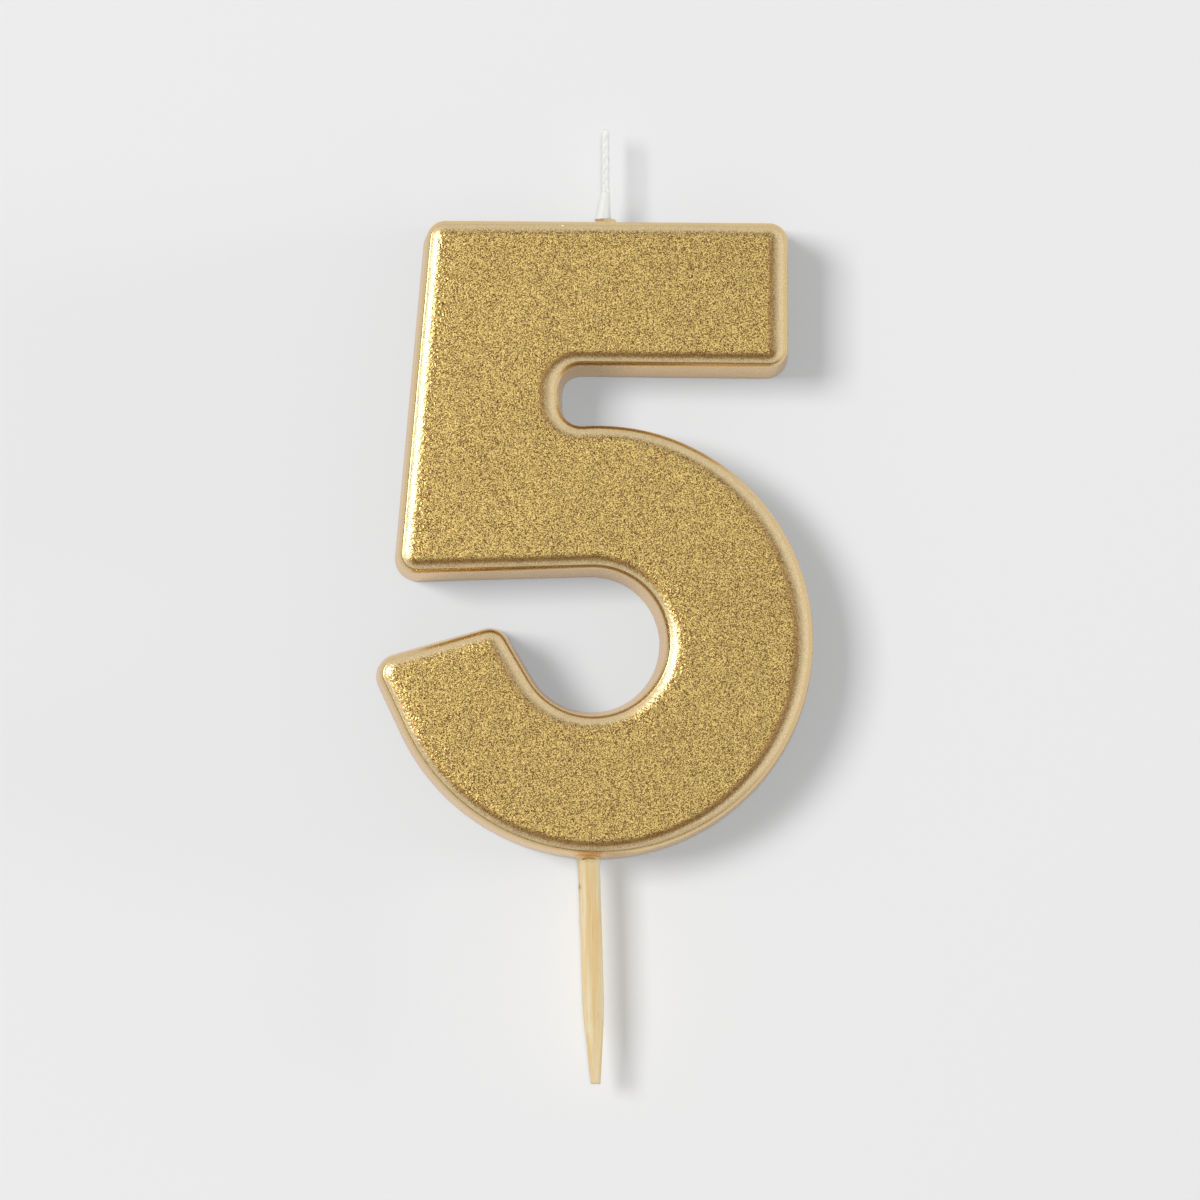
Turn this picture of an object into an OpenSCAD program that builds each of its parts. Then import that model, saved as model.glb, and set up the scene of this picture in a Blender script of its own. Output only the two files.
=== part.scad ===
// Number birthday candle in the shape of a 5.
// A moulded wax digit under a thin gold coat, a glitter layer on its flat front,
// a cotton wick in its top edge and a blunt wooden pick in the bottom of its bowl.
// Upright as on a cake: +Z towards the wick, numbered front towards -Y, and the
// origin on the axis of the pick, where the bare wood starts, at the middle of
// the thickness.
// The sides taper towards the front, so every size of the digit is the one at
// the middle of its thickness.

/* [Digit] */
// Height of the digit from the bottom of the bowl to the top edge
digit_h = 64.5; // [62:0.5:72]
// Thickness of the digit, glitter included
digit_t = 9; // [7:0.5:12]
// Outer radius of the bowl
bowl_r = 21.9; // [21:0.1:23.5]
// How far the centre of the bowl lies to the right of the pick
bowl_x = 0.9; // [0:0.1:2]
// Radius of the counter, the open space inside the bowl
counter_r = 7.2; // [5:0.1:8.5]
// Centre of the counter to the right of the centre of the bowl
counter_dx = -0.55; // [-1:0.05:0]
// Centre of the counter above the centre of the bowl
counter_dz = -0.2; // [-1:0.05:0.5]
// Radius of the corners, seen from the front
corner_r = 2.1; // [2:0.1:2.8]
// Radius of the two inner corners of the notch
notch_r = 2.1; // [1.5:0.1:2.4]

/* [Top bar and stem] */
// How much the top edge drops towards its right end, in degrees
top_drop = 0.3; // [0:0.1:1]
// Height of the bar at its right end
bar_h = 15.2; // [13:0.1:18]
// Right end of the bar, from the pick
bar_right = 20.3; // [18:0.1:22]
// Left end of the top edge, from the pick
bar_left = 16.5; // [15:0.1:18]
// How much the lower edge of the bar drops towards its right end, in degrees
bar_drop = 0.5; // [0:0.1:2]
// Lean of the left edge of the stem, in degrees
stem_lean = 5.1; // [3:0.1:7]
// Right side of the stem, to the left of the pick
stem_right = 2.9; // [1:0.1:5]
// Rise of the lower edge of the foot of the stem, in degrees
foot_rise = 1.6; // [0:0.1:4]

/* [End of the bowl] */
// Distance from the centre of the bowl to the top edge of the end of the bowl
end_rise = 4.3; // [3:0.1:5]
// Slope of that top edge, in degrees
end_slope = 15.9; // [12:0.1:20]
// Direction in which the inner side of the end faces, in degrees
end_inner = 30.6; // [24:0.1:34]
// Direction in which the straight outer side of the end faces, in degrees
end_outer = 205; // [200:1:208]

/* [Edges and layers] */
// Taper of the sides towards the front, in degrees
draft = 3.4; // [0.5:0.1:5]
// Radius of the rounded front edge
edge_r = 1.25; // [1:0.05:1.3]
// Thickness of the gold coat
coat_t = 0.2; // [0.1:0.05:0.3]
// Thickness of the glitter layer
glitter_t = 0.2; // [0.1:0.05:0.4]

/* [Wick] */
// Diameter of the wick
wick_d = 0.8; // [0.6:0.05:1.2]
// Free length of the wick
wick_free = 9.7; // [6:0.1:14]
// Length of the wick inside the wax
wick_sunk = 11; // [8:0.5:12]
// Wick to the right of the pick
wick_x = 1.7; // [-2:0.1:4]
// Height of the wax that climbs the wick
wick_wax_h = 2.9; // [1:0.1:5]

/* [Pick] */
// Diameter of the pick
pick_d = 2.3; // [1.8:0.1:3]
// Length of the bare pick, from the gold collar to the tip
pick_free = 22.5; // [18:0.5:40]
// Length of the rest of the pick, in the collar and in the wax
pick_sunk = 12; // [8:0.5:12.5]
// Diameter of the hidden end, inside the wax
pick_end_d = 1.8; // [1.6:0.1:1.8]
// Length of the taper at the tip of the pick
pick_taper = 7.5; // [4:0.5:10]
// Diameter of the blunt tip
pick_tip_d = 1.05; // [0.6:0.05:1.6]
// Lean of the pick, in degrees
pick_lean = 1.8; // [0:0.1:3]
// Height of the gold collar that joins the pick to the wax
collar_h = 0.45; // [0.3:0.05:1]

/* [Hidden] */

$fn = 48;

// Steps of the round stretches, in degrees: wide arcs, corners and the front edge
arc_step = 6;
corner_step = 15;
edge_step = 18;

// The joint between the rim and the slab lies this far inside the slab
lap = 0.4;

// The gold lip around the wick
lip_h = 0.45;
lip_r = 1.2;
lip_top_r = 0.95;

// The gold collar around the pick, and how far it reaches up into the coat
collar_r = 1.35;
collar_top_r = 1.6;
collar_root = 0.1;

// The wax on the wick, wider to the left of the wick
wick_wax_dx = -0.2;
wick_wax_r = 0.85;
wick_wax_top_r = 0.65;

back_w = -digit_t / 2;
front_w = digit_t / 2 - glitter_t;
flat_inset = side_inset(front_w - edge_r) + edge_r;

// How far the side lies inwards of the outline, at a depth towards the front
function side_inset(w) = w * tan(draft);

bowl_c = [bowl_x, collar_h + sqrt(bowl_r * bowl_r - bowl_x * bowl_x)];
counter_c = bowl_c + [counter_dx, counter_dz];
top_z = bowl_c.y - bowl_r + digit_h;

function dir(angle) = [cos(angle), sin(angle)];

// A straight edge is a point on it and the direction that it faces
top_edge = [[0, top_z], 90 - top_drop];
right_edge = [[bar_right, top_z], 0];
bar_under = [[bar_right, top_z - bar_h], 270 - bar_drop];
stem_side = [[-stem_right, top_z], 0];
left_edge = [[-bar_left, top_z], 180 - stem_lean];
foot_under = [counter_c - counter_r * dir(270 + foot_rise), 270 + foot_rise];
end_inside = [counter_c - counter_r * dir(end_inner), end_inner];
end_top = [bowl_c + end_rise * dir(90 + end_slope), 90 + end_slope];
end_side = [bowl_c + bowl_r * dir(end_outer), end_outer];

// Centre of the corner of radius r between two straight edges; r is negative in a hollow corner
function corner_centre(a, b, r) =
    let (na = dir(a[1]), nb = dir(b[1]), da = a[0] * na - r, db = b[0] * nb - r)
    [da * nb.y - db * na.y, db * na.x - da * nb.x] / (na.x * nb.y - na.y * nb.x);

// Centre of the hollow corner between the bowl and the side of the stem
notch_x = notch_r - stem_right;
notch_c = [notch_x, bowl_c.y + sqrt(pow(bowl_r + notch_r, 2) - pow(notch_x - bowl_c.x, 2))];
notch_turn = 360 + atan2(notch_c.y - bowl_c.y, notch_c.x - bowl_c.x);

// The round stretches of the outline, anticlockwise from the top right corner:
// centre, radius (negative in a hollow), first and last facing direction, step.
// Straight edges join them. The bowl runs straight into the notch, so it stops a step short.
ARCS = [
    [corner_centre(right_edge, top_edge, corner_r), corner_r, 0, top_edge[1], corner_step],
    [corner_centre(top_edge, left_edge, corner_r), corner_r, top_edge[1], left_edge[1], corner_step],
    [corner_centre(left_edge, foot_under, corner_r), corner_r, left_edge[1], foot_under[1], corner_step],
    [counter_c, -counter_r, foot_under[1], end_inner, arc_step],
    [corner_centre(end_inside, end_top, corner_r), corner_r, end_inner, end_top[1], corner_step],
    [corner_centre(end_top, end_side, corner_r), corner_r, end_top[1], end_outer, corner_step],
    [bowl_c, bowl_r, end_outer, notch_turn - arc_step, arc_step],
    [notch_c, -notch_r, notch_turn, 360, corner_step],
    [corner_centre(stem_side, bar_under, -notch_r), -notch_r, 360, bar_under[1], corner_step],
    [corner_centre(bar_under, right_edge, corner_r), corner_r, bar_under[1], 360, corner_step],
];

function arc_points(arc, inset) =
    let (turn = arc[3] - arc[2], steps = ceil(abs(turn) / arc[4]))
    [for (i = [0 : steps]) arc[0] + (arc[1] - inset) * dir(arc[2] + turn * i / steps)];

// The outline at the middle of the thickness, moved inwards by inset
function outline(inset) = [for (arc = ARCS) for (p = arc_points(arc, inset)) p];

// Section through the rim at depth skin below the surface: [inset, depth towards the front]
function rim_section(skin) = concat(
    [[side_inset(back_w) + skin, back_w + skin]],
    [for (a = [0 : edge_step : 90])
        [flat_inset - (edge_r - skin) * cos(a), front_w - edge_r + (edge_r - skin) * sin(a)]],
    [[flat_inset + lap, 0], [flat_inset, back_w + skin]]
);

// The rim: its section swept round the outline as a closed ring
module rim(skin) {
    section = rim_section(skin);
    rings = [for (s = section) outline(s[0])];
    n = len(rings[0]);
    m = len(section);
    points = [for (i = [0 : n - 1]) for (j = [0 : m - 1]) [rings[j][i].x, rings[j][i].y, section[j][1]]];
    faces = [for (i = [0 : n - 1]) for (j = [0 : m - 1])
        let (i2 = (i + 1) % n, j2 = (j + 1) % m)
        [i * m + j, i * m + j2, i2 * m + j2, i2 * m + j]];
    polyhedron(points = points, faces = faces);
}

// A flat plate of the outline between two depths
module plate(inset, from_w, to_w) {
    translate([0, 0, from_w]) linear_extrude(to_w - from_w) polygon(outline(inset));
}

// The whole digit without its glitter, at depth skin below the surface
module digit(skin) {
    rotate([90, 0, 0]) {
        rim(skin);
        plate(flat_inset, back_w + skin, front_w - skin);
    }
}

// The frame of the pick: its axis leans, with the tip towards the right
module leaning() {
    rotate([0, -pick_lean, 0]) children();
}

// The hidden part of the pick, and the space that it takes in the coat and the wax
module pick_root() {
    leaning() cylinder(h = pick_sunk, d1 = pick_d, d2 = pick_end_d);
}

// The space that the wick takes inside the digit
module wick_bore() {
    translate([wick_x, 0, top_z - wick_sunk]) cylinder(h = wick_sunk + 2 * lip_h, d = wick_d);
}

module wax_body() {
    color("ivory") difference() {
        digit(coat_t);
        pick_root();
        wick_bore();
    }
}

module gold_coat() {
    color("goldenrod") difference() {
        union() {
            digit(0);
            translate([wick_x, 0, top_z - coat_t])
                cylinder(h = lip_h + coat_t, r1 = lip_r, r2 = lip_top_r);
            leaning() cylinder(h = collar_h + collar_root, r1 = collar_r, r2 = collar_top_r);
        }
        digit(coat_t);
        pick_root();
        wick_bore();
    }
}

module glitter_face() {
    color("gold") rotate([90, 0, 0]) plate(flat_inset, front_w, front_w + glitter_t);
}

module wick() {
    color("white") translate([wick_x, 0, top_z - wick_sunk]) cylinder(h = wick_sunk + wick_free, d = wick_d);
}

module wick_wax() {
    color("floralwhite") difference() {
        translate([wick_x + wick_wax_dx, 0, top_z + lip_h])
            cylinder(h = wick_wax_h - lip_h, r1 = wick_wax_r, r2 = wick_wax_top_r);
        translate([wick_x, 0, top_z]) cylinder(h = 2 * wick_wax_h, d = wick_d);
    }
}

module pick() {
    color("burlywood") {
        pick_root();
        leaning() {
            translate([0, 0, pick_taper - pick_free]) cylinder(h = pick_free - pick_taper, d = pick_d);
            translate([0, 0, -pick_free]) cylinder(h = pick_taper, d1 = pick_tip_d, d2 = pick_d);
        }
    }
}

wax_body();
gold_coat();
glitter_face();
wick();
wick_wax();
pick();
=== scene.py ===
"""Number birthday candle, numeral 5: gold-lacquered wax, glitter front, cotton wick and wooden pick."""

import math
import random

import bpy
from mathutils import Matrix, Vector, noise
from mathutils.geometry import delaunay_2d_cdt
from mathutils.kdtree import KDTree


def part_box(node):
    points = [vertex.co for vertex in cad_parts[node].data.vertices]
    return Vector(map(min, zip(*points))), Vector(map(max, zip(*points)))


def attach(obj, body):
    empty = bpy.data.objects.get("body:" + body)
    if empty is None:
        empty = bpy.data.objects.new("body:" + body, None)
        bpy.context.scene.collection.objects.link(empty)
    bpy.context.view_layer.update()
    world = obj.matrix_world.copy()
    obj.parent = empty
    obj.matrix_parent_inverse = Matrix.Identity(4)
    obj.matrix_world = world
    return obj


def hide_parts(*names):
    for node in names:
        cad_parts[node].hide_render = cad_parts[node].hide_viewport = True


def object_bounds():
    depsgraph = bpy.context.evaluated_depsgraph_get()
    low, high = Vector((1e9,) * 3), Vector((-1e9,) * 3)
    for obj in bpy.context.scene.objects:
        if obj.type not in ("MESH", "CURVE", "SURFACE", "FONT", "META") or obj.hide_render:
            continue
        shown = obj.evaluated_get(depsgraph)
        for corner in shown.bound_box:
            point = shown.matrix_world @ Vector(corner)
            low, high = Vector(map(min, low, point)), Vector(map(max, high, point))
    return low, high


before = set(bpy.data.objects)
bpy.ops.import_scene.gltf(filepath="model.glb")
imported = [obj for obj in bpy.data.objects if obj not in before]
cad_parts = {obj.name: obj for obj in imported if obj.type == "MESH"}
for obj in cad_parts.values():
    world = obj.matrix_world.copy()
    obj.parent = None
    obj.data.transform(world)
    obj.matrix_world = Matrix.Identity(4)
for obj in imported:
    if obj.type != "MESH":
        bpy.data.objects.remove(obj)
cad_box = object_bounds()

MM = 0.001

# ---------------------------------------------------------------- driving dimensions, mm and degrees
# The origin is on the pick's axis, where the bare wood starts: x to the right, y to the back, z up.
# The numeral's outline, at the middle of its thickness; these are the CAD model's values.
DIGIT_H = 64.5
DIGIT_T = 9.0
BOWL_R = 21.9
BOWL_X = 0.9
COUNTER_R = 7.2
COUNTER_DX = -0.55
COUNTER_DZ = -0.2
CORNER_R = 2.1
NOTCH_R = 2.1
TOP_DROP = 0.3
BAR_H = 15.2
BAR_RIGHT = 20.3
BAR_LEFT = 16.5
BAR_DROP = 0.5
STEM_LEAN = 5.1
STEM_RIGHT = 2.9
FOOT_RISE = 1.6
END_RISE = 4.3
END_SLOPE = 15.9
END_INNER = 30.6
END_OUTER = 205.0
DRAFT = 3.4
GLITTER_T = 0.2
WICK_D = 0.8
WICK_X = 1.7
WICK_WAX_H = 2.9
PICK_D = 2.3
PICK_FREE = 22.5
PICK_TAPER = 7.5
PICK_TIP_D = 1.05
PICK_LEAN = 1.8
COLLAR_H = 0.45

# The numeral's edges, where the real one is softer than the CAD model
EDGE_RUN = 1.7                      # the rounded front edge, across the numeral
EDGE_DEPTH = 1.3                    # and towards the back
BACK_ROUND = 0.25                   # the soft edge round the back
SPLIT = 44.0                        # where on the front edge the glitter sheet ends, in degrees
COAT_TUCK = (0.14, 0.12)            # the coat's fold under the glitter's border, inwards and back
GLITTER_TUCK = (0.12, 0.1)          # and the glitter's own fold
RIPPLE = 0.011                      # waviness of the lacquer on the sides and the front edge, in mm,
RIPPLE_SCALE = 0.35                 # and how closely the waves follow one another
SWELL = 0.04                        # the same for the front
SWELL_SCALE = 0.3
BACK_SWELL = 0.06                   # and for the back
BACK_SCALE = 0.12

# The lip at the wick and the collar at the pick, as (radius, height) pairs
LIP = [
    (0.5, -0.3), (1.3, -0.3), (1.32, 0.0), (1.2, 0.05), (1.1, 0.2),
    (1.04, 0.36), (0.96, 0.44), (0.8, 0.45), (0.5, 0.4),
]
COLLAR = [
    (0.9, 0.02), (1.04, 0.0), (1.1, 0.08), (1.15, 0.2), (1.2, 0.3),
    (1.3, 0.4), (1.45, 0.48), (1.7, 0.62), (1.7, 1.0), (0.9, 1.0),
]
LIP_WOBBLE = 0.05
COLLAR_WOBBLE = 0.04

# How brown the lacquer is, from 0 to 1: real stains, and painted dark reflection along the edge and on the
# sides
RIDGE = 33.0                        # the dark line on the front edge, partly thin lacquer and partly painted dark reflection, and how far it spreads,
RIDGE_HALF = 14.0                   # in degrees
# the ridge's brown everywhere, partly thin lacquer and partly painted dark reflection
RIDGE_WORN_AND_SHADE = 0.12
RIDGE_SHADE_BELOW = 0.28             # painted dark reflection, more where the edge faces down
# the sides painted darker and browner, as painted darker reflection
WALL_SHADE = 0.16
WALL_SHADE_LEFT = 0.1                # painted darker reflection, more where the wall faces left
STAIN_WORN = 0.4                    # the stain on the wall over the pick
STAIN_HALF = 1.7                    # half its width
STAIN_FADE = 0.7                    # its soft border
STAIN_TOP = 2.0                     # and how high it reaches
LIP_WORN = 0.75
COLLAR_WORN = 0.35

# The glitter
GRAIN = 0.18      # spacing of the grains
GRAIN_LIFT = 0.006                  # half of the most by which a grain's corner is sunk
EDGE_CALM = 0.65                    # how much flatter the grains lie on the edge
GLINT_LIFT = 2.2                    # how much rougher along edges that face left
GLINT_REACH = 1.4                   # and how far inwards from there
SHEEN_SHIFT_RIGHT = 0.24                   # the smooth lacquer is painted further over edges that face right, a painted pale reflection,
SHEEN_SHIFT_BELOW = 0.18                   # and less far over those that face down, a painted darker reflection
DARK_BAND_AT = 0.22                      # where a painted dark reflection band lies, as a part of the edge's width
DARK_BAND_HALF = 0.2
DARK_BAND_SHADE = 0.75

# The wick and its wax
STRAND_R = 0.23
PLAIT_PITCH = 3.2
PLAIT_DEPTH = 0.11
WICK_SUNK = 1.5                     # how far the plait goes on inside the numeral
TRIM = 0.08                         # keeps the trimmed top below the CAD wick's
CONE_FOOT_R = 0.86
CONE_TOP_R = 0.42
CONE_SKEW = 0.26                    # how far the foot lies to the left of the wick
CONE_RISE = 0.38                    # the foot's height above the numeral

# The pick
PICK_SUNK = 1.0
PICK_SHAVED = 0.02                  # keeps the uneven wood inside the CAD pick
NICK_Z = -2.6                       # a dark nick on the left, and half its height
NICK_HALF = 0.4

# Spacing of points and numbers of faces
TABLE_STEP = 0.9
COAT_STEP = 0.45
GLITTER_STEP = 0.3
MEASURE_STEP = 0.08                 # for the distance between a grain and the outline
CAP_STEP = 4.0                      # inside caps that don't show
BACK_STEP = 2.0
SIDE_STEPS = 8
EDGE_STEPS = 11
TURN_SIDES = 48
STRAND_SIDES = 12
STRAND_STEPS = 120
CONE_SIDES = 32
CONE_STEPS = 14
PICK_STEPS = 90
SEED = 5

# The camera: its distance, the width it sees there, its place round the candle, and its aim
CAMERA_AWAY = 554.5
VIEW_WIDTH = 121.96
CAMERA_TURN = -1.3
CAMERA_RISE = -2.6
CAMERA_AIM = (0.44, 0.0, 0.46)      # from the middle of the CAD model's box
SENSOR_WIDTH = 36.0

# The light: where each softbox stands as seen from the candle, its width and height in m, its power
SOFTBOX_AWAY = 3.0
KEY_FROM = (-0.70, -1.0, 0.21)
KEY_SIZE = (1.05, 1.0)
KEY_POWER = 51.0
FILL_FROM = (1.0, -0.05, 0.05)
FILL_SIZE = (1.0, 1.0)
FILL_POWER = 55.0
FRONT_FROM = (0.0, -1.0, 0.02)
FRONT_SIZE = (0.3, 0.3)
FRONT_POWER = 22.5
WORLD_FILL = 0.12                   # the world's even light
WORLD_SEEN = 0.84                   # and its level where the camera sees it
TABLE_TONE = 0.80
TABLE_GLOW = 0.145
TABLE_HALF = 900.0
TABLE_GAP = 0.05                    # between the numeral's back and the table
TABLE_HOLE = 0.3                    # how far the numeral covers the border of the hole below it

# What the gold mirrors in the upper right of the studio, and in the lower left of it:
# (degrees from the camera's side, level) pairs
OPEN_SIDE = [
    (0, 0.86), (12, 0.84), (19, 0.42), (32, 0.36),
    (41, 0.86), (88, 0.80), (95, 0.8), (180, 0.7),
]
DARK_SIDE = [
    (0, 0.86), (12, 0.84), (19, 0.32), (32, 0.20), (41, 0.85),
    (66, 0.80), (74, 0.08), (92, 0.08), (100, 0.7), (180, 0.7),
]

BACK_Y = DIGIT_T / 2
FRONT_Y = -DIGIT_T / 2
SHOULDER_Y = FRONT_Y + EDGE_DEPTH   # the sides end here and the rounded edge starts
BED_Y = FRONT_Y + GLITTER_T         # the lacquer under the glitter


def clamp(value):
    """The value, kept between 0 and 1."""
    return min(1.0, max(0.0, value))


def side_inset(y):
    """How far the tapered side lies inwards of the outline at depth y."""
    return -y * math.tan(math.radians(DRAFT))


FLAT_INSET = side_inset(SHOULDER_Y) + EDGE_RUN


# ---------------------------------------------------------------- the outline of the numeral
def direction(angle):
    """The 2D direction at an angle in degrees, anticlockwise from the right."""
    return Vector((math.cos(math.radians(angle)), math.sin(math.radians(angle))))


def corner_centre(a, b, r):
    """Centre of the corner of radius r between two edges, each a point and the direction it faces."""
    na, nb = direction(a[1]), direction(b[1])
    da, db = a[0].dot(na) - r, b[0].dot(nb) - r
    det = na.x * nb.y - na.y * nb.x
    return Vector((da * nb.y - db * na.y, db * na.x - da * nb.x)) / det


def round_stretches():
    """The round stretches of the outline, anticlockwise: centre, radius (negative if hollow), turn."""
    bowl = Vector((BOWL_X, COLLAR_H + math.sqrt(BOWL_R ** 2 - BOWL_X ** 2)))
    counter = bowl + Vector((COUNTER_DX, COUNTER_DZ))
    top_z = bowl.y - BOWL_R + DIGIT_H
    top = (Vector((0, top_z)), 90 - TOP_DROP)
    right = (Vector((BAR_RIGHT, top_z)), 0)
    bar_under = (Vector((BAR_RIGHT, top_z - BAR_H)), 270 - BAR_DROP)
    stem_side = (Vector((-STEM_RIGHT, top_z)), 0)
    left = (Vector((-BAR_LEFT, top_z)), 180 - STEM_LEAN)
    foot = (counter - COUNTER_R * direction(270 + FOOT_RISE), 270 + FOOT_RISE)
    end_inside = (counter - COUNTER_R * direction(END_INNER), END_INNER)
    end_top = (bowl + END_RISE * direction(90 + END_SLOPE), 90 + END_SLOPE)
    end_side = (bowl + BOWL_R * direction(END_OUTER), END_OUTER)
    notch_x = NOTCH_R - STEM_RIGHT
    rise = math.sqrt((BOWL_R + NOTCH_R) ** 2 - (notch_x - bowl.x) ** 2)
    notch = Vector((notch_x, bowl.y + rise))
    notch_turn = 360 + math.degrees(math.atan2(rise, notch_x - bowl.x))
    return top_z, [
        (corner_centre(right, top, CORNER_R), CORNER_R, 0, top[1]),
        (corner_centre(top, left, CORNER_R), CORNER_R, top[1], left[1]),
        (corner_centre(left, foot, CORNER_R), CORNER_R, left[1], foot[1]),
        (counter, -COUNTER_R, foot[1], END_INNER),
        (corner_centre(end_inside, end_top, CORNER_R), CORNER_R, END_INNER, end_top[1]),
        (corner_centre(end_top, end_side, CORNER_R), CORNER_R, end_top[1], END_OUTER),
        (bowl, BOWL_R, END_OUTER, notch_turn),
        (notch, -NOTCH_R, notch_turn, 360),
        (corner_centre(stem_side, bar_under, -NOTCH_R), -NOTCH_R, 360, bar_under[1]),
        (corner_centre(bar_under, right, CORNER_R), CORNER_R, bar_under[1], 360),
    ]


TOP_Z, ROUND = round_stretches()


def sample_outline(step):
    """Points of the outline with the direction that each faces, about step apart."""
    points = []

    def add(point, facing):
        if not points or (points[-1][0] - point).length > step * 0.05:
            points.append((point, facing))

    for index, (centre, radius, start, end) in enumerate(ROUND):
        length = abs(radius * math.radians(end - start))
        steps = max(8, round(length / step))
        for i in range(steps + 1):
            facing = direction(start + (end - start) * i / steps)
            add(centre + radius * facing, facing)
        after = ROUND[(index + 1) % len(ROUND)]
        line_end = after[0] + after[1] * direction(after[2])
        line_start = points[-1][0].copy()
        steps = round((line_end - line_start).length / step)
        for i in range(1, steps):
            add(line_start.lerp(line_end, i / steps), direction(after[2]))
    if (points[0][0] - points[-1][0]).length < step * 0.05:
        points.pop()
    return points


def ring(outline, inset):
    """The outline's points, moved inwards."""
    return [point - facing * inset for point, facing in outline]


def edge_at(t):
    """Inset and depth on the rounded edge, from 0 degrees at the side to 90 at the flat front."""
    t = math.radians(t)
    return FLAT_INSET - EDGE_RUN * math.cos(t), SHOULDER_Y - EDGE_DEPTH * math.sin(t)


# ---------------------------------------------------------------- mesh helpers
def new_piece(name, verts, faces, material, slot, replaced, smooth=True, **marks):
    """Makes a mesh piece from millimetres, puts it on the frame and hides the CAD part that it replaces."""
    mesh = bpy.data.meshes.new(name)
    mesh.from_pydata([Vector(v) * MM for v in verts], [], faces)
    mesh.validate()
    for polygon in mesh.polygons:
        polygon.use_smooth = smooth
    for mark, values in marks.items():
        domain = "FACE" if len(values) == len(faces) else "POINT"
        layer = mesh.attributes.new(mark, "FLOAT", domain)
        layer.data.foreach_set("value", values)
    mesh.materials.append(material)
    piece = bpy.data.objects.new(name, mesh)
    bpy.context.scene.collection.objects.link(piece)
    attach(piece, "root")
    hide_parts(replaced)


def fill(outline, spacing, jitter, rng):
    """Triangles that fill a closed 2D outline, with inner points about spacing apart."""
    xs = [p.x for p in outline]
    zs = [p.y for p in outline]
    count = len(outline)
    loop = [(i, (i + 1) % count) for i in range(count)]
    inside = []
    row = 0
    z = min(zs)
    while z < max(zs):
        crossings = sorted(
            a.x + (z - a.y) * (b.x - a.x) / (b.y - a.y)
            for a, b in ((outline[i], outline[j]) for i, j in loop)
            if (a.y <= z) != (b.y <= z)
        )
        x = min(xs) + (row % 2) * spacing / 2
        while x < max(xs):
            passed = sum(c < x for c in crossings)
            gap = min((abs(x - c) for c in crossings), default=0)
            if passed % 2 and gap > spacing * 0.6:
                inside.append(Vector((x + rng.uniform(-jitter, jitter), z + rng.uniform(-jitter, jitter))))
            x += spacing
        z += spacing * math.sqrt(3) / 2
        row += 1
    points, _, faces, _, _, _ = delaunay_2d_cdt(outline + inside, loop, [], 1, 1e-6)
    return points, faces


def ripple(point, scale, amount):
    """A slow, smooth change of level at a point."""
    return amount * noise.noise(Vector(point) * scale)


# ---------------------------------------------------------------- node helpers
class Nodes:
    """Short ways to make and join the nodes of one material or world."""

    def __init__(self, tree):
        self.tree = tree

    def add(self, kind, **settings):
        node = self.tree.nodes.new(kind)
        for key, value in settings.items():
            setattr(node, key, value)
        return node

    def put(self, socket, value):
        if isinstance(value, bpy.types.NodeSocket):
            self.tree.links.new(value, socket)
        else:
            socket.default_value = value

    def math(self, operation, a, b=0.0):
        node = self.add("ShaderNodeMath", operation=operation)
        for socket, value in zip(node.inputs, (a, b)):
            self.put(socket, value)
        return node.outputs[0]

    def spread(self, value, low, high, to_low=0.0, to_high=1.0, smooth=False):
        node = self.add("ShaderNodeMapRange", interpolation_type="SMOOTHSTEP" if smooth else "LINEAR")
        for socket, item in zip(node.inputs, (value, low, high, to_low, to_high)):
            self.put(socket, item)
        return node.outputs[0]

    def mix(self, factor, a, b):
        node = self.add("ShaderNodeMix", data_type="RGBA")
        self.put(node.inputs["Factor"], factor)
        self.put(node.inputs[6], a)
        self.put(node.inputs[7], b)
        return node.outputs[2]

    def place(self, stretch=(1, 1, 1)):
        """Object coordinates, stretched."""
        node = self.add("ShaderNodeMapping")
        self.put(node.inputs["Vector"], self.add("ShaderNodeTexCoord").outputs["Object"])
        node.inputs["Scale"].default_value = stretch
        return node.outputs[0]

    def noise(self, where, scale, detail=2.0):
        node = self.add("ShaderNodeTexNoise")
        self.put(node.inputs["Vector"], where)
        self.put(node.inputs["Scale"], scale)
        self.put(node.inputs["Detail"], detail)
        return node.outputs["Fac"]

    def cells(self, where, scale):
        """Random numbers, one per small cell."""
        node = self.add("ShaderNodeTexVoronoi")
        self.put(node.inputs["Vector"], where)
        self.put(node.inputs["Scale"], scale)
        split = self.add("ShaderNodeSeparateColor")
        self.put(split.inputs[0], node.outputs["Color"])
        return split.outputs

    def bump(self, height, strength, distance):
        node = self.add("ShaderNodeBump")
        self.put(node.inputs["Height"], height)
        self.put(node.inputs["Strength"], strength)
        self.put(node.inputs["Distance"], distance)
        return node.outputs[0]

    def attribute(self, name):
        return self.add("ShaderNodeAttribute", attribute_name=name).outputs["Fac"]


def material(name):
    """A new material: its nodes and its Principled shader's sockets."""
    made = bpy.data.materials.new(name)
    made.use_nodes = True
    return made, Nodes(made.node_tree), made.node_tree.nodes["Principled BSDF"].inputs


def rgb(*values):
    return (*values, 1.0)


def clear_coat(n, skin, weight):
    """The clear top coat over the gold, whose mirror image stays white."""
    n.put(skin["Coat Weight"], weight)
    n.put(skin["Coat Roughness"], 0.22)
    n.put(skin["Coat IOR"], 1.7)
    n.put(skin["Specular Tint"], rgb(1.0, 0.80, 0.56))


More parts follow.
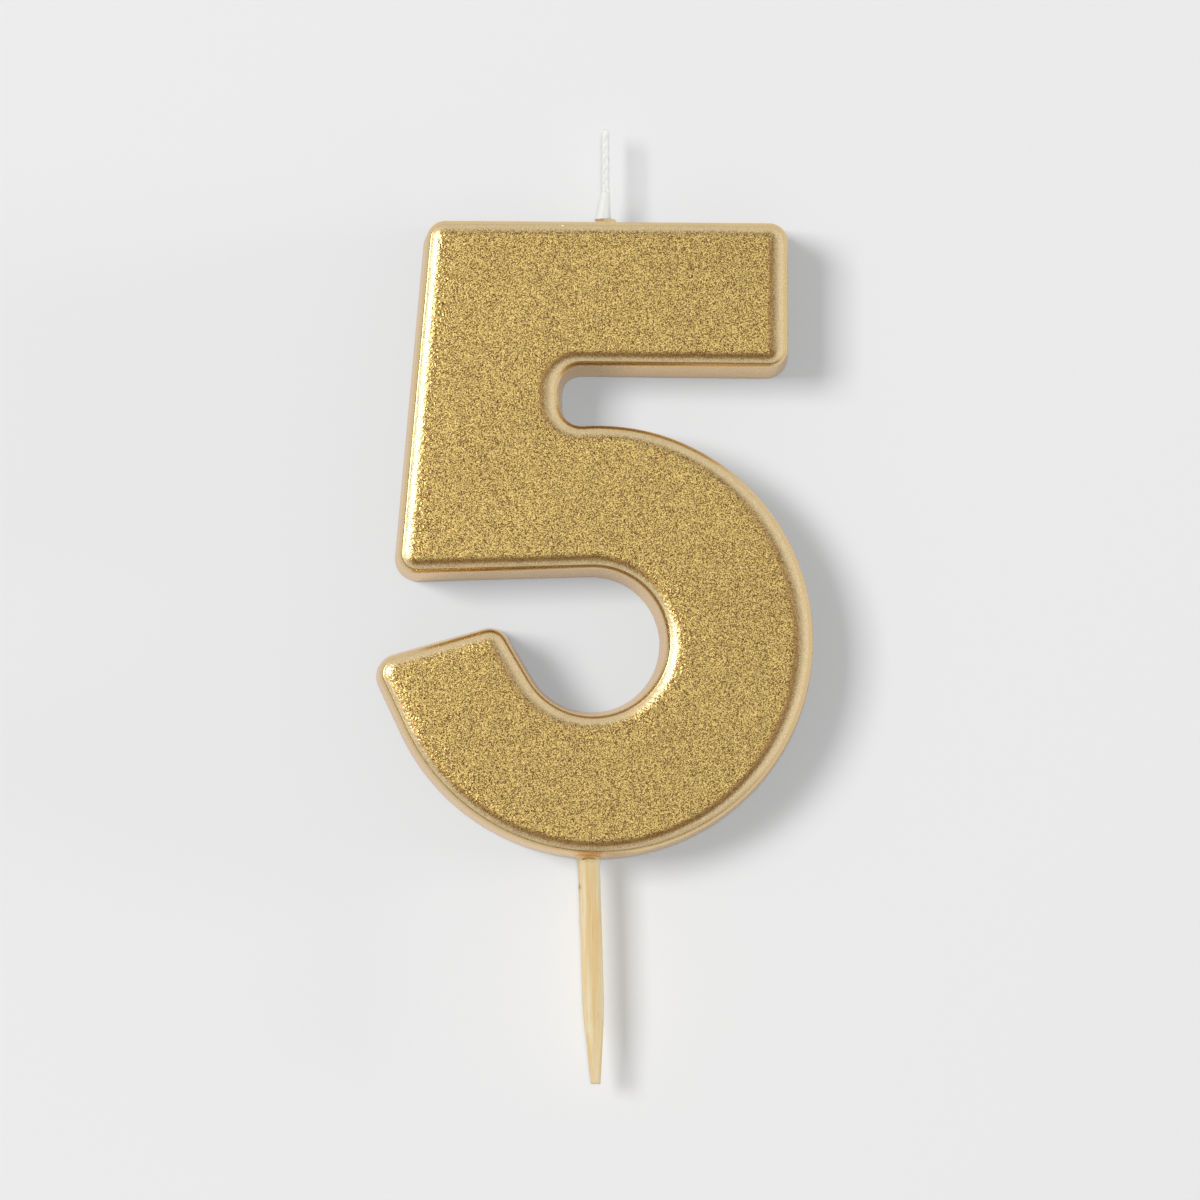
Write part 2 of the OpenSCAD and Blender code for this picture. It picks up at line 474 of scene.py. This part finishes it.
def gold_lacquer():
    """Satin gold lacquer: fine metal grain under a smooth coat, brown at real stains and where dark
    reflection is painted.
    """
    made, n, skin = material("gold_lacquer")
    where = n.place()
    pooled = n.noise(where, 220.0, 3.0)
    grain = n.cells(where, 12000.0)
    tone = n.math("ADD", n.math("MULTIPLY", pooled, 0.5), n.math("MULTIPLY", grain[0], 0.5))
    colour = n.mix(tone, rgb(0.74, 0.55, 0.27), rgb(0.88, 0.695, 0.38))
    # worn holds real stains and painted dark reflection
    n.put(skin["Base Color"], n.mix(n.attribute("worn"), colour, rgb(0.50, 0.23, 0.05)))
    n.put(skin["Roughness"], n.spread(grain[1], 0.0, 1.0, 0.20, 0.30))
    n.put(skin["Metallic"], 0.95)
    n.put(skin["Normal"], n.bump(n.noise(where, 3000.0), 0.12, 0.0001))
    clear_coat(n, skin, 0.35)
    return made


def gold_glitter():
    """Glitter grains in gold lacquer: bright and dark specks, drowned where the lacquer has flowed, with
    painted reflection at the edge.
    """
    made, n, skin = material("gold_glitter")
    where = n.place()
    speck = n.cells(where, 14000.0)
    bright = n.spread(speck[0], 0.4, 0.6)
    light = n.math("ADD", n.math("MULTIPLY", n.attribute("tone"), 0.12), n.math("MULTIPLY", bright, 0.84))
    light = n.math("ADD", light, n.spread(n.noise(where, 60.0, 3.0), 0.3, 0.7, 0.0, 0.04))
    grains = n.mix(light, rgb(0.13, 0.033, 0.0), rgb(1.0, 0.735, 0.24))
    # a painted dark reflection band near the edge
    grains = n.mix(n.attribute("brown"), grains, rgb(0.30, 0.13, 0.015))
    coated = n.mix(light, rgb(0.72, 0.52, 0.25), rgb(0.90, 0.70, 0.38))
    # the real lacquer band at the edge, shifted by painted reflection
    smooth = n.spread(n.attribute("flow"), 0.27, 0.57, 0.0, 1.0, smooth=True)
    n.put(skin["Base Color"], n.mix(smooth, grains, coated))
    n.put(skin["Roughness"], n.spread(speck[1], 0.0, 1.0, 0.28, 0.40))
    n.put(skin["Metallic"], 1.0)
    n.put(skin["Normal"], n.bump(speck[2], 0.2, 0.00002))
    clear_coat(n, skin, n.spread(n.attribute("flow"), 0.0, 0.3, 0.35, 1.0))
    return made


def ivory_wax():
    """The candle's own wax, under the gold."""
    made, n, skin = material("wax")
    cloud = n.noise(n.place(), 180.0, 4.0)
    n.put(skin["Base Color"], n.mix(cloud, rgb(0.84, 0.76, 0.60), rgb(0.92, 0.87, 0.76)))
    n.put(skin["Roughness"], n.spread(cloud, 0.2, 0.8, 0.38, 0.55))
    n.put(skin["Subsurface Weight"], 0.4)
    n.put(skin["Subsurface Scale"], 0.002)
    n.put(skin["Normal"], n.bump(cloud, 0.2, 0.0002))
    return made


def cotton():
    """Waxed cotton, pale, with fibres along the wick."""
    made, n, skin = material("cotton_wick")
    fibre = n.noise(n.place((5000, 5000, 900)), 1.0, 3.0)
    n.put(skin["Base Color"], n.mix(fibre, rgb(0.93, 0.93, 0.91), rgb(0.99, 0.99, 0.98)))
    n.put(skin["Roughness"], n.spread(fibre, 0.2, 0.8, 0.45, 0.7))
    n.put(skin["Normal"], n.bump(fibre, 0.3, 0.00003))
    return made


def clear_wax():
    """Thin, milky clear wax where the wick leaves the candle."""
    made, n, skin = material("clear_wax")
    cloud = n.noise(n.place(), 1500.0, 3.0)
    n.put(skin["Base Color"], n.mix(cloud, rgb(0.92, 0.93, 0.86), rgb(0.98, 0.98, 0.95)))
    n.put(skin["Roughness"], n.spread(cloud, 0.2, 0.8, 0.25, 0.4))
    n.put(skin["Normal"], n.bump(cloud, 0.15, 0.00003))
    return made


def pale_wood():
    """Planed birch: long streaks and fine pores, with a dark nick."""
    made, n, skin = material("pale_wood")
    streak = n.noise(n.place((1400, 1400, 60)), 1.0, 4.0)
    pore = n.noise(n.place((6000, 6000, 350)), 1.0, 3.0)
    colour = n.mix(n.spread(streak, 0.38, 0.62), rgb(0.86, 0.62, 0.30), rgb(0.93, 0.83, 0.57))
    dark = n.math("MULTIPLY", n.spread(pore, 0.60, 0.75), 0.4)
    colour = n.mix(dark, colour, rgb(0.62, 0.40, 0.16))
    colour = n.mix(n.attribute("stain"), colour, rgb(0.30, 0.15, 0.04))
    n.put(skin["Base Color"], colour)
    n.put(skin["Roughness"], n.spread(streak, 0.2, 0.8, 0.6, 0.75))
    n.put(skin["Specular IOR Level"], 0.3)
    n.put(skin["Normal"], n.bump(n.math("SUBTRACT", streak, pore), 0.5, 0.0001))
    return made


# ---------------------------------------------------------------- the numeral
def join_rings(rings):
    """Vertices and quads between closed rings of equal length, anticlockwise, from the back forwards."""
    count = len(rings[0])
    verts = [v for points in rings for v in points]
    faces = []
    for k in range(len(rings) - 1):
        for i in range(count):
            j = (i + 1) % count
            faces.append((k * count + i, k * count + j, (k + 1) * count + j, (k + 1) * count + i))
    return verts, faces


def rod_faces(rings, sides):
    """Faces of a closed rod: the quads between its rings of vertices, and a cap on each end."""
    faces = []
    for k in range(rings - 1):
        for i in range(sides):
            j = (i + 1) % sides
            faces.append((k * sides + i, (k + 1) * sides + i, (k + 1) * sides + j, k * sides + j))
    last = (rings - 1) * sides
    faces.append(tuple(range(sides)))
    faces.append(tuple(reversed(range(last, last + sides))))
    return faces


def add_cap(verts, faces, outline, inset, y, first, spacing, facing_back, rng, wave=0.0):
    """Closes a ring of the shell, whose vertices start at index first, with a filled flat face."""
    edge = ring(outline, inset)
    points, triangles = fill(edge, spacing, spacing * 0.2, rng)
    count = len(edge)
    index = {i: first + i for i in range(count)}
    for i in range(count, len(points)):
        index[i] = len(verts)
        p = points[i]
        verts.append((p.x, y - abs(ripple((p.x, p.y, 0), BACK_SCALE, wave)), p.y))
    for triangle in triangles:
        face = tuple(index[i] for i in triangle)
        faces.append(face[::-1] if facing_back else face)


def lathe(profile, base, wobble, seed):
    """Vertices and faces of a turned shape: (radius, height) pairs from one closed end to the other."""
    verts = []
    for radius, height in profile:
        for i in range(TURN_SIDES):
            turn = direction(360 * i / TURN_SIDES)
            r = radius + ripple((turn.x + seed, turn.y, height * 0.5), 1.3, wobble)
            verts.append((base[0] + r * turn.x, base[1] - r * turn.y, base[2] + height))
    return verts, rod_faces(len(profile), TURN_SIDES)


def merge(*shapes):
    """One list of vertices and one of faces, from several of each."""
    verts, faces = [], []
    for more_verts, more_faces in shapes:
        base = len(verts)
        verts += more_verts
        faces += [tuple(base + i for i in face) for face in more_faces]
    return verts, faces


def coat_levels():
    """The coat's rows, from the back to under the glitter: inset, depth, and closeness to the ridge."""
    levels = []
    for t in (90, 60, 30, 0):
        y = BACK_Y - BACK_ROUND * (1 - math.sin(math.radians(t)))
        levels.append((side_inset(y) + BACK_ROUND * (1 - math.cos(math.radians(t))), y, 0.0))
    start = levels[-1][1]
    for i in range(1, SIDE_STEPS):
        y = start + (SHOULDER_Y - start) * i / SIDE_STEPS
        levels.append((side_inset(y), y, 0.0))
    for i in range(EDGE_STEPS + 1):
        t = SPLIT * i / EDGE_STEPS
        levels.append((*edge_at(t), max(0.0, 1 - abs(t - RIDGE) / RIDGE_HALF)))
    inset, y, _ = levels[-1]
    levels.append((inset + COAT_TUCK[0], y + COAT_TUCK[1], 0.0))
    levels.append((FLAT_INSET, BED_Y, 0.0))
    return levels


def shell_worn(point, y, facing, ridge):
    """How brown the lacquer is on the shell: painted dark reflection along the ridge and on the sides, a
    real stain over the pick.
    """
    # painted dark reflection along the ridge, heavier where the edge faces down
    worn = ridge * (RIDGE_WORN_AND_SHADE + RIDGE_SHADE_BELOW * max(0.0, -facing.y))
    worn += STAIN_WORN * clamp((STAIN_HALF - abs(point.x)) / STAIN_FADE) * (point.y < STAIN_TOP)
    # the sides painted darker, as painted reflection, more where they face left
    return worn + (WALL_SHADE + WALL_SHADE_LEFT * max(0.0, -facing.x)) * (y > SHOULDER_Y - 0.3)


def trim_worn(x, y, z):
    """How brown it is on the lip's left half and on the collar, where it meets the wood."""
    if z > TOP_Z:
        return LIP_WORN * clamp((WICK_X - 0.1 - x) / 0.2) * min(1.0, (z - TOP_Z) / 0.3)
    return COLLAR_WORN * (max(abs(x), abs(y)) < 2 and z < 1.1)


def make_gold_coat():
    """The lacquered shell: back, tapered sides and rounded edge, with the lip and collar it forms."""
    outline = sample_outline(COAT_STEP)
    levels = coat_levels()
    rings, worn = [], []
    for inset, y, ridge in levels:
        points = []
        for p, facing in outline:
            q = p - facing * (inset + abs(ripple((p.x, y, p.y), RIPPLE_SCALE, RIPPLE)))
            points.append((q.x, y, q.y))
            worn.append(shell_worn(q, y, facing, ridge))
        rings.append(points)
    verts, faces = join_rings(rings)
    rng = random.Random(SEED)
    front = (len(levels) - 1) * len(outline)
    add_cap(verts, faces, outline, levels[0][0], BACK_Y, 0, BACK_STEP, True, rng, BACK_SWELL)
    add_cap(verts, faces, outline, FLAT_INSET, BED_Y, front, CAP_STEP, False, rng)
    verts, faces = merge(
        (verts, faces),
        lathe(LIP, (WICK_X, 0, TOP_Z - 0.02), LIP_WOBBLE, 2.0),
        lathe(COLLAR, (0, 0, 0), COLLAR_WOBBLE, 7.0),
    )
    worn += [trim_worn(*vert) for vert in verts[len(worn):]]
    return verts, faces, worn


def outline_finder():
    """A search for the outline's nearest point, and the points and facings that it finds."""
    fine = sample_outline(MEASURE_STEP)
    tree = KDTree(len(fine))
    for i, (p, _) in enumerate(fine):
        tree.insert((p.x, p.y, 0), i)
    tree.balance()
    return tree, fine


def make_glitter():
    """The glittered front: a thin closed sheet of real facets, over the flat and the start of the edge.

    Its marks: a tone for each grain, how far lacquer has flowed over it, shifted by facing as painted
    reflection, and how dark a painted reflection band is.
    """
    rng = random.Random(SEED + 1)
    outline = sample_outline(GLITTER_STEP)
    tree, fine = outline_finder()
    border_inset, border_y = edge_at(SPLIT)
    edge = ring(outline, border_inset)
    points, triangles = fill(edge, GRAIN, GRAIN * 0.3, rng)
    count = len(edge)
    verts, flow, brown = [], [], []
    for i, p in enumerate(points):
        _, near, _ = tree.find((p.x, p.y, 0))
        q, facing = fine[near]
        inset = (q - p).dot(facing)
        across = min(1.0, max(0.0, FLAT_INSET - inset) / EDGE_RUN)
        covered = (FLAT_INSET - inset) / EDGE_RUN
        # shifting the lacquer band by facing paints reflection: paler on edges facing right, darker on those
        # facing down
        covered = covered + SHEEN_SHIFT_RIGHT * max(0.0, facing.x) - SHEEN_SHIFT_BELOW * max(0.0, -facing.y)
        flow.append(max(0.0, covered))
        # a painted dark reflection band where the edge starts, heavier on edges that face right and down
        dark_band = clamp(1.4 - abs(covered - DARK_BAND_AT) / DARK_BAND_HALF)
        brown.append(DARK_BAND_SHADE * dark_band * clamp(0.5 + 0.4 * facing.x - 0.5 * facing.y))
        if i < count:
            verts.append((p.x, border_y, p.y))
            continue
        t = math.acos(across)
        y = SHOULDER_Y - EDGE_DEPTH * math.sin(t)
        glint = max(0.0, -facing.x) * max(0.0, 1 - max(0.0, inset - FLAT_INSET) / GLINT_REACH)
        rough = 1 - EDGE_CALM * across + GLINT_LIFT * glint * (1 - across)
        lift = rng.uniform(-2, 0) * GRAIN_LIFT * rough
        lift -= abs(ripple((p.x, 0, p.y), SWELL_SCALE, SWELL)) * (1 - across)
        out = Vector((facing.x * across / EDGE_RUN, -math.sin(t) / EDGE_DEPTH, facing.y * across / EDGE_RUN))
        verts.append(tuple(Vector((p.x, y, p.y)) + out.normalized() * lift))
    faces = [tuple(f) for f in triangles]
    tones = [rng.random() for _ in faces]
    first = len(verts)
    tuck = (border_inset + GLITTER_TUCK[0], border_y + GLITTER_TUCK[1])
    bed = (FLAT_INSET, BED_Y - 0.01)
    for inset, y in (tuck, bed):
        verts += [(p.x, y, p.y) for p in ring(outline, inset)]
    for start, after in ((0, first), (first, first + count)):
        for i in range(count):
            j = (i + 1) % count
            faces.append((start + i, after + i, after + j, start + j))
    add_cap(verts, faces, outline, *bed, first + count, CAP_STEP, True, rng)
    tones += [0.5] * (len(faces) - len(tones))
    flow += [1.0] * (len(verts) - len(flow))
    brown += [0.0] * (len(verts) - len(brown))
    return verts, faces, tones, flow, brown


# ---------------------------------------------------------------- wick and pick
def tube(path, radius, sides):
    """A closed tube of vertices and faces along a path of points, with a radius for each."""
    verts = []
    for k, point in enumerate(path):
        ahead = (path[min(k + 1, len(path) - 1)] - path[max(k - 1, 0)]).normalized()
        side = ahead.cross(Vector((0, 1, 0))).normalized()
        other = side.cross(ahead)
        for i in range(sides):
            turn = direction(360 * i / sides)
            verts.append(tuple(point + side * (radius[k] * turn.x) + other * (radius[k] * turn.y)))
    return verts, rod_faces(len(path), sides)


def make_wick():
    """Three plaited strands, from inside the numeral to the trimmed top."""
    _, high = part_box("wick")
    top = high.z / MM - TRIM
    bottom = TOP_Z - WICK_SUNK
    swing = WICK_D / 2 - STRAND_R
    shapes = []
    for k in range(3):
        path, radius = [], []
        for i in range(STRAND_STEPS + 1):
            z = bottom + (top - bottom) * i / STRAND_STEPS
            turn = 2 * math.pi * (k / 3 + (z - bottom) / PLAIT_PITCH)
            path.append(Vector((WICK_X + swing * math.sin(turn), PLAIT_DEPTH * math.sin(2 * turn), z)))
            radius.append(STRAND_R * (1 - 0.35 * max(0.0, (i / STRAND_STEPS - 0.97) / 0.03)))
        shapes.append(tube(path, radius, STRAND_SIDES))
    return merge(*shapes)


def make_wick_wax():
    """The skewed cone of wax that climbs the wick."""
    base_z = TOP_Z + CONE_RISE
    verts = []
    for k in range(CONE_STEPS + 1):
        s = k / CONE_STEPS
        r = CONE_FOOT_R + (CONE_TOP_R - CONE_FOOT_R) * s ** 0.8
        x = WICK_X - CONE_SKEW * (1 - s)
        for i in range(CONE_SIDES):
            turn = direction(360 * i / CONE_SIDES)
            w = r + ripple((turn.x, turn.y, s * 3), 1.2, 0.03)
            verts.append((x + w * turn.x, -w * turn.y, base_z + WICK_WAX_H * s))
    return verts, rod_faces(CONE_STEPS + 1, CONE_SIDES)


def make_pick():
    """The wooden pick: a slightly uneven rod, shaved to a blunt tip, with one dark nick."""
    lean = math.tan(math.radians(PICK_LEAN))
    length = PICK_FREE + PICK_SUNK
    verts, stain = [], []
    for k in range(PICK_STEPS + 1):
        z = PICK_SUNK - length * k / PICK_STEPS
        past = -z - (PICK_FREE - PICK_TAPER)
        taper = (past + math.sqrt(past ** 2 + 0.8)) / (2 * PICK_TAPER)
        r = (PICK_D + (PICK_TIP_D - PICK_D) * min(1.0, taper)) / 2
        for i in range(TURN_SIDES):
            turn = direction(360 * i / TURN_SIDES)
            uneven = ripple((turn.x * 1.5, turn.y * 1.5, z * 0.05), 1.7, 0.05)
            uneven += ripple((turn.x * 6, turn.y * 6, z * 0.12), 1.0, 0.02)
            w = r - PICK_SHAVED - abs(uneven) * clamp(-z / 1.5)
            verts.append((w * turn.x - z * lean, w * turn.y, z))
            left = max(0.0, (-turn.x - 0.7) / 0.3)
            stain.append(max(0.0, 1 - abs(z - NICK_Z) / NICK_HALF) * left)
    return verts, rod_faces(PICK_STEPS + 1, TURN_SIDES), stain


# ---------------------------------------------------------------- the pieces
# the shell's marks: real stains, and painted dark reflection on the edge and sides
coat_verts, coat_faces, coat_worn = make_gold_coat()
new_piece("gold_shell", coat_verts, coat_faces, gold_lacquer(), "gold_lacquer", "gold_coat", worn=coat_worn)
glitter_verts, glitter_faces, glitter_tone, glitter_flow, glitter_brown = make_glitter()
new_piece("glitter_front", glitter_verts, glitter_faces, gold_glitter(), "gold_glitter", "glitter_face",
          smooth=False, tone=glitter_tone, flow=glitter_flow, brown=glitter_brown)
new_piece("plaited_wick", *make_wick(), cotton(), "cotton_wick", "wick")
new_piece("wick_cone", *make_wick_wax(), clear_wax(), "clear_wax", "wick_wax")
pick_verts, pick_faces, pick_stain = make_pick()
new_piece("wood_pick", pick_verts, pick_faces, pale_wood(), "pale_wood", "pick", stain=pick_stain)
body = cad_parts["wax_body"]
body.data.materials.clear()
body.data.materials.append(ivory_wax())


# ---------------------------------------------------------------- camera, table, light
centre = (cad_box[0] + cad_box[1]) / 2


def make_camera():
    """The photograph's view: almost straight on, a little from the left and from below."""
    aim = centre + Vector(CAMERA_AIM) * MM
    turn, rise = math.radians(CAMERA_TURN), math.radians(CAMERA_RISE)
    toward = Vector((math.sin(turn), -1, math.sin(rise))).normalized()
    camera = bpy.data.objects.new("camera", bpy.data.cameras.new("camera"))
    camera.data.sensor_width = SENSOR_WIDTH
    camera.data.lens = SENSOR_WIDTH * CAMERA_AWAY / VIEW_WIDTH
    camera.data.clip_start = 0.01
    camera.location = aim + toward * CAMERA_AWAY * MM
    camera.rotation_euler = (-toward).to_track_quat("-Z", "Y").to_euler()
    bpy.context.scene.collection.objects.link(camera)
    bpy.context.scene.camera = camera


def table_material():
    """Matt pale paper with a faint glow; its far side is clear, so that the back can be seen."""
    made, n, skin = material("table")
    n.put(skin["Base Color"], rgb(TABLE_TONE, TABLE_TONE, TABLE_TONE))
    n.put(skin["Roughness"], 0.9)
    n.put(skin["Specular IOR Level"], 0.1)
    n.put(skin["Emission Color"], rgb(1, 1, 1))
    n.put(skin["Emission Strength"], TABLE_GLOW)
    made.cycles.emission_sampling = "NONE"
    clear = n.add("ShaderNodeBsdfTransparent")
    choose = n.add("ShaderNodeMixShader")
    n.put(choose.inputs[0], n.add("ShaderNodeNewGeometry").outputs["Backfacing"])
    n.put(choose.inputs[1], made.node_tree.nodes["Principled BSDF"].outputs[0])
    n.put(choose.inputs[2], clear.outputs[0])
    n.put(made.node_tree.nodes["Material Output"].inputs[0], choose.outputs[0])
    return made


def inside_of(loop, point):
    """Whether a 2D point lies inside a closed loop of points."""
    hit = False
    for a, b in zip(loop, loop[1:] + loop[:1]):
        if (a.y <= point.y) != (b.y <= point.y):
            if point.x < a.x + (point.y - a.y) * (b.x - a.x) / (b.y - a.y):
                hit = not hit
    return hit


def make_table():
    """A pale table behind the numeral, with a hole where the numeral lies on it."""
    hole = ring(sample_outline(TABLE_STEP), side_inset(BACK_Y) + TABLE_HOLE)
    square = [Vector((x, z)) * TABLE_HALF for x, z in ((-1, -1), (1, -1), (1, 1), (-1, 1))]
    count = len(hole)
    edges = [(i, (i + 1) % count) for i in range(count)]
    edges += [(count + i, count + (i + 1) % 4) for i in range(4)]
    points, _, triangles, _, _, _ = delaunay_2d_cdt(hole + square, edges, [], 2, 1e-6)
    flat = []
    for triangle in triangles:
        if all(i < count for i in triangle):
            mid = sum((points[i] for i in triangle), Vector((0, 0))) / 3
            if inside_of(hole, mid):
                continue
        flat.append(tuple(triangle))
    y = BACK_Y + TABLE_GAP
    mesh = bpy.data.meshes.new("table")
    mesh.from_pydata([Vector((p.x, y, p.y)) * MM for p in points], [], flat)
    mesh.materials.append(table_material())
    table = bpy.data.objects.new("table", mesh)
    bpy.context.scene.collection.objects.link(table)


def add_softbox(name, place, size, power, mirrored=True):
    """A softbox that faces the candle; the gold mirrors it only if mirrored is true."""
    light = bpy.data.lights.new(name, "AREA")
    light.shape = "RECTANGLE"
    light.size, light.size_y = size
    light.energy = power
    toward = Vector(place).normalized()
    lamp = bpy.data.objects.new(name, light)
    lamp.location = centre + toward * SOFTBOX_AWAY
    across = Vector((0, 0, 1)).cross(toward).normalized()
    lamp.rotation_euler = Matrix((across, toward.cross(across), toward)).transposed().to_euler()
    lamp.visible_camera = False
    lamp.visible_glossy = mirrored
    bpy.context.scene.collection.objects.link(lamp)


def ring_levels(n, angle, levels):
    """A level that depends on the angle from the camera's side, given as (degrees, level) pairs."""
    ramp = n.add("ShaderNodeFloatCurve")
    curve = ramp.mapping.curves[0]
    while len(curve.points) < len(levels):
        curve.points.new(0.5, 0.5)
    for point, (at, value) in zip(curve.points, levels):
        point.location = (at / 180, value)
        point.handle_type = "VECTOR"
    ramp.mapping.update()
    n.put(ramp.inputs["Value"], n.math("DIVIDE", angle, 180.0))
    return ramp.outputs[0]


def make_world():
    """A soft studio: what the gold mirrors, the even fill on the table, and a pale surround."""
    world = bpy.data.worlds.new("studio")
    world.use_nodes = True
    world.cycles.sampling_method = "NONE"
    bpy.context.scene.world = world
    n = Nodes(world.node_tree)
    split = n.add("ShaderNodeSeparateXYZ")
    n.put(split.inputs[0], n.add("ShaderNodeTexCoord").outputs["Generated"])
    x, y, z = split.outputs
    angle = n.math("MULTIPLY", n.math("ARCCOSINE", n.math("MULTIPLY", y, -1.0)), 180 / math.pi)
    open_side = ring_levels(n, angle, OPEN_SIDE)
    dark_side = ring_levels(n, angle, DARK_SIDE)
    lower_left = n.math("ADD", n.math("MULTIPLY", x, -0.6), n.math("MULTIPLY", z, -0.8))
    dark = n.spread(lower_left, -0.1, 0.3)
    brighter_right = n.spread(x, 0.2, 0.9, 1.0, 1.12)
    dimmer_above = n.spread(z, 0.2, 0.9, 1.0, 0.88)
    open_side = n.math("MULTIPLY", open_side, n.math("MULTIPLY", brighter_right, dimmer_above))
    mirrored = n.mix(dark, open_side, dark_side)
    path = n.add("ShaderNodeLightPath").outputs
    seen = n.mix(path["Is Glossy Ray"], rgb(WORLD_FILL, WORLD_FILL, WORLD_FILL), mirrored)
    seen = n.mix(path["Is Camera Ray"], seen, rgb(WORLD_SEEN, WORLD_SEEN, WORLD_SEEN))
    background = world.node_tree.nodes["Background"]
    n.put(background.inputs["Color"], seen)
    n.put(background.inputs["Strength"], 1.0)


make_camera()
make_table()
add_softbox("key", KEY_FROM, KEY_SIZE, KEY_POWER)
add_softbox("fill", FILL_FROM, FILL_SIZE, FILL_POWER, mirrored=False)
add_softbox("front", FRONT_FROM, FRONT_SIZE, FRONT_POWER, mirrored=False)
make_world()
bpy.context.scene.view_settings.view_transform = "Standard"
bpy.context.scene.cycles.caustics_reflective = False      # keeps the table neutral
bpy.context.scene.cycles.denoising_prefilter = "NONE"     # keeps the glitter crisp
